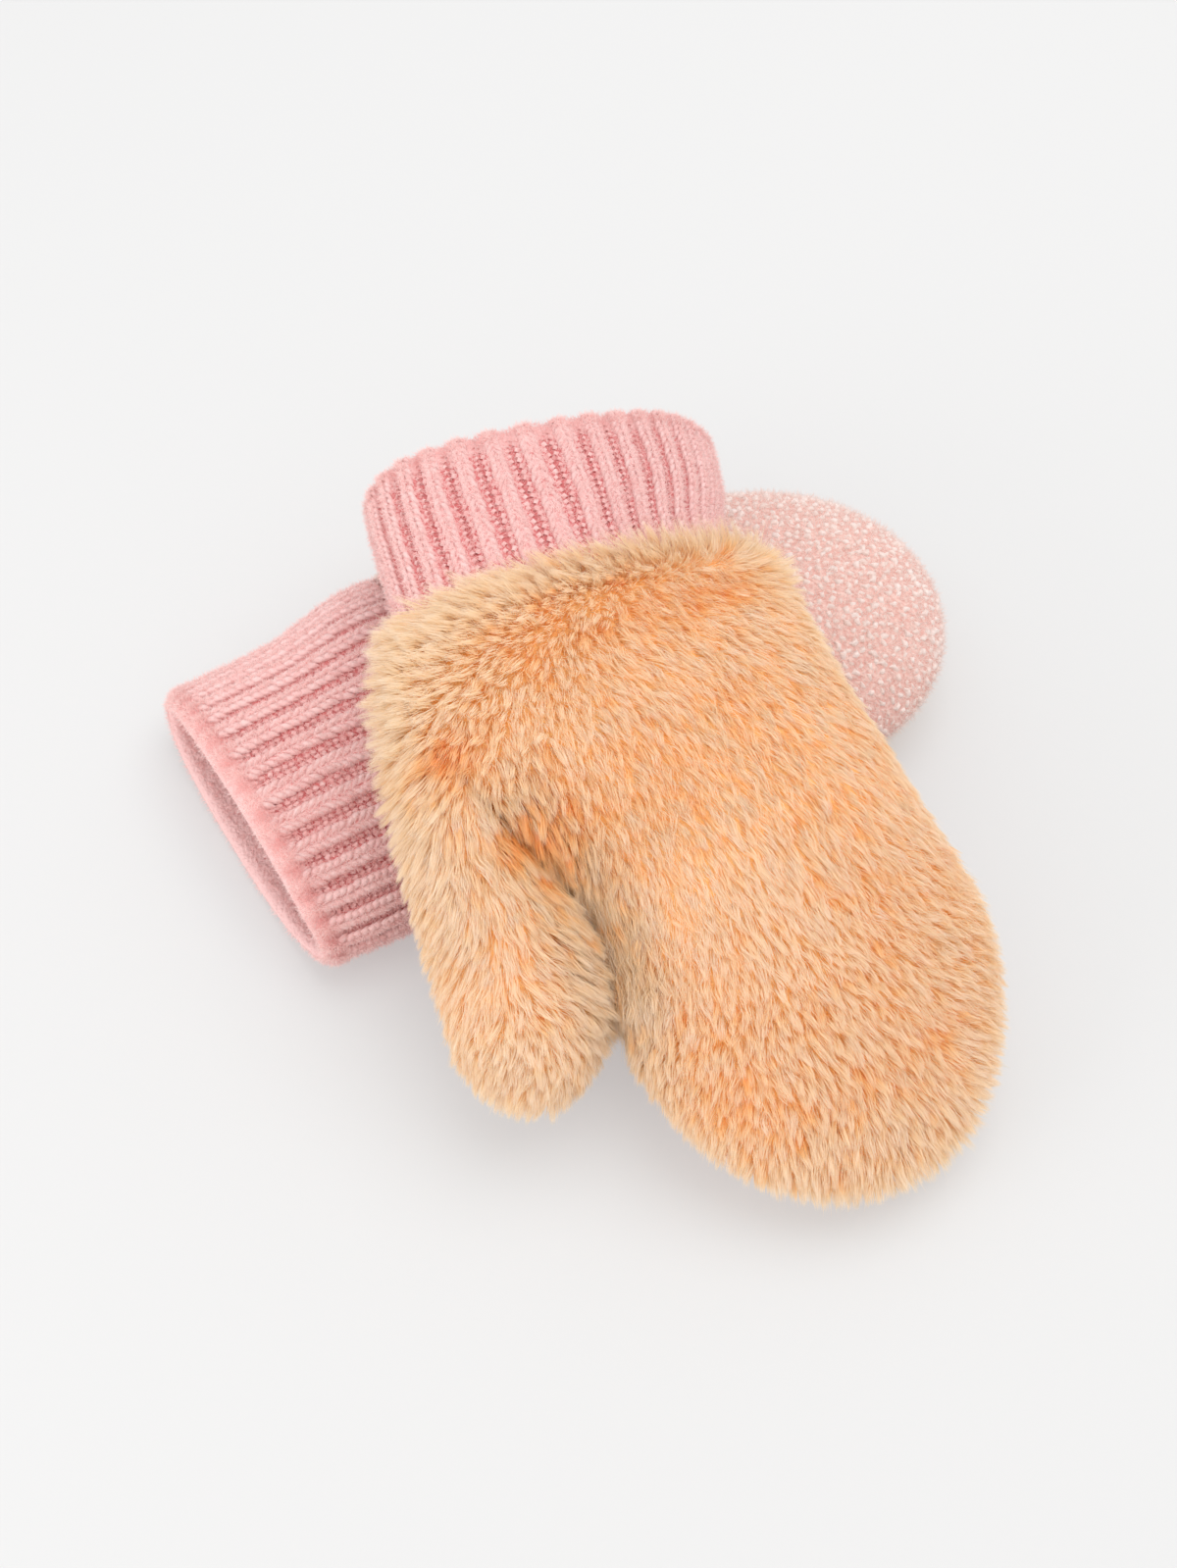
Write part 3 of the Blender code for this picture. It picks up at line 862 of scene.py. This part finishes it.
def spread(places, apart):
    """Which of the places to keep, so that none are nearer than apart."""
    taken, kept = {}, []
    cells = np.floor(places / apart).astype(int)
    near = [(i, j, k) for i in (-1, 0, 1) for j in (-1, 0, 1) for k in (-1, 0, 1)]
    for index, (place, cell) in enumerate(zip(places.tolist(), cells.tolist())):
        x, y, z = cell
        around = (taken.get((x + i, y + j, z + k)) for i, j, k in near)
        if all(other is None or math.dist(place, other) >= apart for other in around):
            taken[x, y, z] = place
            kept.append(index)
    return kept


PILE_STEPS = 2  # lengths that a strand bends between
PILE_MOST = 66000  # strands in one piece
LOOSE = dict(lock=17.0, strand=14.0)  # degrees that directions stray from the comb
WAVE = 13.0  # degrees by which the comb's way swings to and fro over the palm
STAND = dict(mean=66, spread=8, bend=34)  # degrees from the cloth, and less at the tip
SEAM_LEAN = dict(degrees=26, span=(47.0, 56.0))  # how much lower strands lie by the cuff
STRAYS = 0.14  # share of strands in no lock
GATHERED = (0.45, 0.85)  # how far the others are pulled to their lock
STRAND_WIDTH = (0.14, 0.24)


def grow_pile(mitten, lie, count, apart, reach, depth, name, material, comb, patch):
    """Plush pile on a palm, gathered in pointed locks that stand apart by the given distance.

    patch(own, name) gives how much longer ("more") or denser ("thick") it is, and how much lighter
    or darker its colour is painted ("tone"), as painted light and painted shade."""
    outer, inner = panel_at(mitten, "palm", lie, 0.0), panel_at(mitten, "palm", lie, depth)
    strand = scatter(outer, inner, count, lambda own: patch(own, "thick"))
    lock = scatter(outer, inner, count // 3)
    kept = spread(lock[0], apart)
    lock = tuple(table[kept] for table in lock)
    made = []
    for (root, out, own), loose in ((lock, LOOSE["lock"]), (strand, LOOSE["strand"])):
        n = len(root)
        u, v = own.T
        waved = WAVE * np.sin(u * 0.9 + 2.0 * np.sin(v * 0.31)) * np.sin(v * 0.7 + 1.0)
        turn = waved + rng.normal(0, loose, n)
        way = swing(comb_world(lie, own, out, comb(own)), out, turn)
        length = reach * rng.normal(1.0, 0.10, n) * (1 + patch(own, "more"))
        stand = rng.normal(STAND["mean"], STAND["spread"], n)
        stand = stand - SEAM_LEAN["degrees"] * (1 - smooth_step(u, *SEAM_LEAN["span"]))
        made.append(grow(root, out, way, length, stand, stand - STAND["bend"], PILE_STEPS))
    lock_points, points = made
    tree = KDTree(len(kept))
    for i, place in enumerate(lock[0]):
        tree.insert(place, i)
    tree.balance()
    nearest = np.array([tree.find(place)[1] for place in strand[0]])
    share = np.linspace(0, 1, PILE_STEPS + 1)[None, :, None] ** 1.2
    pull = np.where(rng.random(count) < STRAYS, 0.0, rng.uniform(*GATHERED, count))
    points += (lock_points[nearest] - points) * share * pull[:, None, None]
    lock_tone = rng.normal(0.5, 0.18, len(kept))
    # The patches' tone adds painted shade and painted light to the locks' and strands' own random
    # tone
    tone = lock_tone[nearest] + rng.normal(0, 0.10, count) + patch(strand[2], "tone")
    facing = unit(strand[1] + rng.normal(0, 0.35, (count, 3)))
    width = rng.uniform(*STRAND_WIDTH, count)
    parts = math.ceil(count / PILE_MOST)
    pieces = []
    for k, some in enumerate(np.array_split(np.argsort(strand[2][:, 0]), parts)):
        label = f"{name}_{k + 1}" if parts > 1 else name
        pieces.append(
            fibres(label, points[some], facing[some], width[some], tone[some], material)
        )
    return pieces


def grow_fuzz(name, root, out, length, stand, width, tone, material):
    """Short straight fibres that stand off a yarn surface every way."""
    n = len(root)
    spin = unit(np.cross(out, rng.normal(0, 1, (n, 3))))
    points = grow(root, out, spin, length, stand, stand, 1)
    return fibres(name, points, unit(rng.normal(0, 1, (n, 3))), width, tone, material)


# ---------------------------------------------------------------- the pieces


BACKING_THICK = 1.0


def make_palm(mitten, lie, depth, backing):
    """The cloth under the pile, depth under the pile's tips."""
    name = f"plush_palm_{mitten['name']}"
    grids = [world for _, world in panel_at(mitten, "palm", lie, depth)]
    piece = shell(name, grids, BACKING_THICK, backing)
    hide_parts(f"palm_{mitten['name']}")
    return piece


BOUCLE_UNDER = 0.5  # how far the ground lies under the panel's outer face
BOUCLE_THICK = 1.4
BOUCLE_TRIES = 26000  # places tried for loops, before those too near each other are dropped
LOOP = dict(reach=0.80, rise=0.10, bend=0.60, radius=0.60)  # shares of a loop's size
LOOP_SUNK = 0.38
HAIR_WIDTH = dict(boucle=0.16, knit=0.17)


def make_back(mitten, lie, apart, hairs, ground, yarn, fuzz):
    name = mitten["name"]
    outer, under = (panel_at(mitten, "back", lie, depth) for depth in (0.0, BOUCLE_UNDER))
    grids = [world for _, world in under]
    base = shell(f"boucle_back_{name}", grids, BOUCLE_THICK, ground)
    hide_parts(f"back_{name}")
    root, out, _ = scatter(outer, under, BOUCLE_TRIES)
    kept = spread(root, apart)
    root, out, loops = root[kept], out[kept], len(kept)
    way = unit(np.cross(out, rng.normal(0, 1, (loops, 3))))
    across = np.cross(out, way)
    s = np.linspace(-1, 1, 4)[None, :, None]
    size = apart / 1.25 * rng.uniform(0.75, 1.2, (loops, 1, 1))
    curl = rng.choice([-1, 1], (loops, 1, 1)) * rng.uniform(0.5, 1.2, (loops, 1, 1))
    paths = root[:, None] - LOOP_SUNK * out[:, None] + size * (
        LOOP["reach"] * s * way[:, None]
        + LOOP["rise"] * (1 - s**2) * out[:, None]
        + LOOP["bend"] * curl * s**2 * across[:, None]
    )
    radii = LOOP["radius"] * size[..., 0] * (1 - 0.92 * s[0, :, 0] ** 4)[None, :]
    tone = np.clip(rng.normal(0.55, 0.16, loops), 0, 1)
    pieces = [yarns(f"boucle_loops_{name}", paths, radii, out, tone, 4, yarn)]
    root, out, _ = scatter(outer, under, hairs)
    length = rng.uniform(1.2, 2.4, hairs)
    pieces.append(
        grow_fuzz(
            f"boucle_fuzz_{name}", root, out, length, rng.uniform(20, 75, hairs),
            np.full(hairs, HAIR_WIDTH["boucle"]), rng.normal(0.6, 0.2, hairs), fuzz,
        )
    )
    return base, pieces


STITCH = 1.9  # a stitch's height along the rib
PITCH = 2 * math.pi / RIB_COUNT  # from rib to rib, as phase round the cuff
GROUND_INSET = 0.75  # of the ground that the stitches lie on
HEM_TURNS = (30, 60, 90, 120, 150)  # degrees at which the hem's rounding has a ring
STITCHES_END = 0.5  # how far the last row of stitches keeps from the seam
RIBS_FULL = (0.0, 8.0)  # u over which ribs grow to their full height
INSIDE_SHARE = 0.14  # of the fuzz


def rib_share(stitch, u):
    """The ribs' height at u, as a share of the full one."""
    return stitch["hem"] + (1 - stitch["hem"]) * smooth_step(u, *RIBS_FULL)


def cuff_upward(lie, phase, u):
    """The direction straight out of the cuff."""
    return unit(cuff_at(lie, phase, u, 0.0, 0.0) - cuff_at(lie, phase, u, 3.0, 0.0))


def every_stitch(heights):
    """Rib, row and side of everything that comes twice in each stitch."""
    table = np.meshgrid(np.arange(RIB_COUNT), heights, (-1, 1), indexing="ij")
    return (values.ravel() for values in table)


def cuff_ground(name, lie, stitch, material):
    """The knit's ground as one closed tube: its outer face, round the hem and its inner face."""
    phase = np.linspace(0, 2 * math.pi, RIB_COUNT * 6 + 1)
    rows = []  # u, inset, share of the ribs' height, tone
    for u in np.linspace(lie.cuff_end, HEM_ROUND, 22):
        rows.append((u, GROUND_INSET, rib_share(stitch, u), 0.0))
    middle = (GROUND_INSET + CUFF_WALL) / 2
    for a in np.radians(HEM_TURNS):
        inset = middle - (CUFF_WALL / 2 - 0.4) * math.cos(a)
        ribs = stitch["hem"] * (0.5 + 0.5 * math.cos(a))
        rows.append((HEM_ROUND * (1 - math.sin(a)), inset, ribs, 0.0))
    for u in np.linspace(HEM_ROUND, lie.cuff_end, 8):
        rows.append((u, CUFF_WALL, 0.0, 0.1 * smooth_step(u, 2.0, 8.0)))
    points = np.array([cuff_at(lie, phase, u, inset, ribs) for u, inset, ribs, _ in rows])
    tone = np.array([inside + (1 - smooth_step(u, 3.0, 9.0)) * 0.8 for u, _, _, inside in rows])
    # Paler over the ribs' crests and deeper in the valleys between them: painted light and painted
    # shade
    tone = tone[:, None] + 0.25 * np.cos(phase * RIB_COUNT)[None]
    points, tone = (np.concatenate([table, table[:1]]) for table in (points, tone))
    bm = bmesh.new()
    points[..., 2] = np.maximum(points[..., 2], FLOOR)
    laid_grid(bm, points, tone)
    bmesh.ops.remove_doubles(bm, verts=bm.verts, dist=MERGED)
    return closed_piece(f"rib_cuff_{name}", bm, material)


def knit_stitches(name, lie, stitch, heights, material):
    """Two legs of yarn in a V, row after row along each rib."""
    rib, row, leg = every_stitch(heights)
    n = len(rib)
    s = np.linspace(0, 1, 5)[None, :]
    wander = rng.normal(0, 0.02, (3, n, 1))
    wider = 0.5 * (1 - stitch["hem"]) * (1 - smooth_step(row, 1.0, 10.0))[:, None]
    sideways = leg[:, None] * (0.03 + (1 + wider) * stitch["apart"] * s**0.8) + wander[0]
    u = row[:, None] + STITCH * (stitch["reach"] * s - 0.2) + wander[1] * 6
    lowered = stitch["dip"] * (1 - np.sin(math.pi * (0.1 + 0.8 * s)))
    inset = 0.70 + lowered + 5.0 * sideways**2 + wander[2]
    at = (rib[:, None] + sideways) * PITCH
    paths = cuff_at(lie, at, np.minimum(u, lie.cuff_end), inset, 0.0)
    up = cuff_upward(lie, rib * PITCH, u[:, 2])
    radii = np.repeat(stitch["radius"] * np.sin(math.pi * (0.04 + 0.92 * s)) ** 0.7, n, 0)
    tone = np.clip(rng.normal(0.56, 0.08, n), 0, 1)
    return yarns(f"rib_stitches_{name}", paths, radii, up, tone, 4, material)


def purl_bumps(name, lie, stitch, heights, material):
    """Two columns of short bumps in each valley between ribs."""
    rib, row, side = every_stitch(heights)
    n = len(rib)
    s = np.linspace(-1, 1, 4)[None, :]
    u = row[:, None] + 0.4 * s**2 + 0.5 * s * side[:, None] + rng.normal(0, 0.14, (n, 1))
    inset = 1.68 + 0.4 * s**2 + 0 * u
    at = rib[:, None] + 0.5 + stitch["purl"] * side[:, None] + 0.09 * s
    at = (at + rng.normal(0, 0.02, (n, 1))) * PITCH
    paths = cuff_at(lie, at, u, inset, 0.0)
    up = cuff_upward(lie, at[:, 2], u[:, 2])
    radii = rng.uniform(0.58, 0.76, (n, 1)) * (1 - 0.9 * s**4)
    # A valley below the stitches' own tone of 0.56 makes the purl yarn deeper, as painted shade
    # between the ribs
    tone = np.clip(rng.normal(stitch["valley"] - 0.06, 0.10, n), 0, 1)
    return yarns(f"rib_purl_{name}", paths, radii, up, tone, 3, material)


def cuff_fuzz(name, lie, stitch, material):
    """Fuzz outside, over the hem and inside."""
    n = stitch["hairs"]
    around = rng.random(n) * RIB_COUNT
    on_rib = rng.random(n) < stitch["on_ribs"]
    around = np.where(on_rib, np.round(around) + rng.normal(0, 0.16, n), around) * PITCH
    at_hem = rng.random(n) < 0.14
    u = np.where(at_hem, rng.uniform(0.1, 5.0, n), rng.uniform(0.3, lie.cuff_end + 1.5, n))
    inside = rng.random(n) < INSIDE_SHARE
    u = np.where(inside, u * 0.6, u)
    ribs = np.where(inside, 0.0, rib_share(stitch, u))
    inset = np.where(inside, CUFF_WALL, 0.05)
    rounded = CUFF_WALL / 2 + (inset - CUFF_WALL / 2) * u / HEM_ROUND
    root = cuff_at(lie, around, u, np.where(u < HEM_ROUND, rounded, inset), ribs)
    out = cuff_upward(lie, around, u)
    out = np.where(inside[:, None], -out, out)
    hem = (1 - smooth_step(u, 0, 3))[:, None]
    out = unit(out - 1.5 * hem * lie.read(lie.along, u))
    # Fuzz over the ribs' crests is painted paler and over the valleys deeper: painted light and
    # painted shade
    raised = 0.5 + 0.5 * np.cos(around * RIB_COUNT)
    tone = np.where(inside, 0.35, 0.28 + 0.42 * raised) + 0.3 * hem[:, 0]
    tone = tone + rng.normal(0, 0.08, n)
    return grow_fuzz(
        f"rib_fuzz_{name}", root, out, rng.uniform(0.8, 1.9, n), rng.uniform(10, 70, n),
        np.full(n, HAIR_WIDTH["knit"]), tone, material,
    )


def make_cuff(mitten, lie, ground, yarn, fuzz):
    name, stitch = mitten["name"], mitten["stitch"]
    base = cuff_ground(name, lie, stitch, ground)
    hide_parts(f"cuff_{name}")
    heights = np.arange(stitch["first"], lie.cuff_end - STITCHES_END, STITCH)
    pieces = [
        knit_stitches(name, lie, stitch, heights, yarn),
        purl_bumps(name, lie, stitch, heights[heights > 4.0], yarn),
        cuff_fuzz(name, lie, stitch, fuzz),
    ]
    return base, pieces


def lay_floor():
    bm = bmesh.new()
    bmesh.ops.create_grid(bm, x_segments=1, y_segments=1, size=FLOOR_HALF)
    mesh = bpy.data.meshes.new("floor")
    bm.to_mesh(mesh)
    bm.free()
    finish = Finish("white_studio_floor", 0.9)
    finish.shader.inputs["Base Color"].default_value = (*[FLOOR_GREY] * 3, 1.0)
    finish.shader.inputs["Emission Color"].default_value = (1.0, 1.0, 1.0, 1.0)
    finish.shader.inputs["Emission Strength"].default_value = FLOOR_GLOW
    finish.material.cycles.emission_sampling = "NONE"
    mesh.materials.append(finish.material)
    floor = bpy.data.objects.new("floor", mesh)
    bpy.context.scene.collection.objects.link(floor)


# ---------------------------------------------------------------- the scene

stand_camera()
light_the_room()
for lamp in LAMPS:
    soft_light(**lamp)
lay_floor()

pile = pile_finish()
backing = backing_finish()
boucle = yarn_finish(
    "pale_pink_boucle", rgb(232, 203, 194), rgb(237, 215, 207), rgb(240, 223, 217)
)
boucle_fuzz = fuzz_finish("pale_pink_boucle_fuzz", rgb(236, 214, 207), rgb(245, 232, 227))
# The grounds' deep colours are painted shade in the pits between loops and the valleys between
# ribs
boucle_ground_and_painted_shade = ground_finish("boucle_ground_and_painted_shade", rgb(222, 172, 162), rgb(236, 204, 195))
knit = yarn_finish("pink_rib_yarn", rgb(219, 140, 142), rgb(233, 184, 181), rgb(240, 206, 203))
knit_fuzz = fuzz_finish("pink_rib_fuzz", rgb(240, 184, 182), rgb(253, 233, 230))
knit_ground_and_painted_shade = ground_finish("rib_ground_and_painted_shade", rgb(214, 124, 124), rgb(241, 198, 195))

right, left = Lie(RIGHT), Lie(LEFT)

palm = make_palm(RIGHT, right, depth=2.4, backing=backing)
piles = grow_pile(
    RIGHT, right, count=130000, apart=1.6, reach=5.0, depth=2.8,
    name="plush_pile_right", material=pile, comb=combed,
    patch=lambda own, name: patched(own, PAINTED_SHADE_AND_LIGHT if name == "tone" else LONGER, name),
)

palm = make_palm(LEFT, left, depth=3.2, backing=backing)
piles = grow_pile(
    LEFT, left, count=14000, apart=2.2, reach=5.0, depth=3.6,
    name="plush_pile_left", material=pile,
    comb=lambda own: np.tile([1.0, 0.0], (len(own), 1)),
    patch=lambda own, name: np.zeros(len(own)),
)

for mitten, lie, apart, hairs in ((LEFT, left, 1.7, 34000), (RIGHT, right, 2.4, 16000)):
    base, pieces = make_back(mitten, lie, apart, hairs, boucle_ground_and_painted_shade, boucle, boucle_fuzz)
    base, pieces = make_cuff(mitten, lie, knit_ground_and_painted_shade, knit, knit_fuzz)
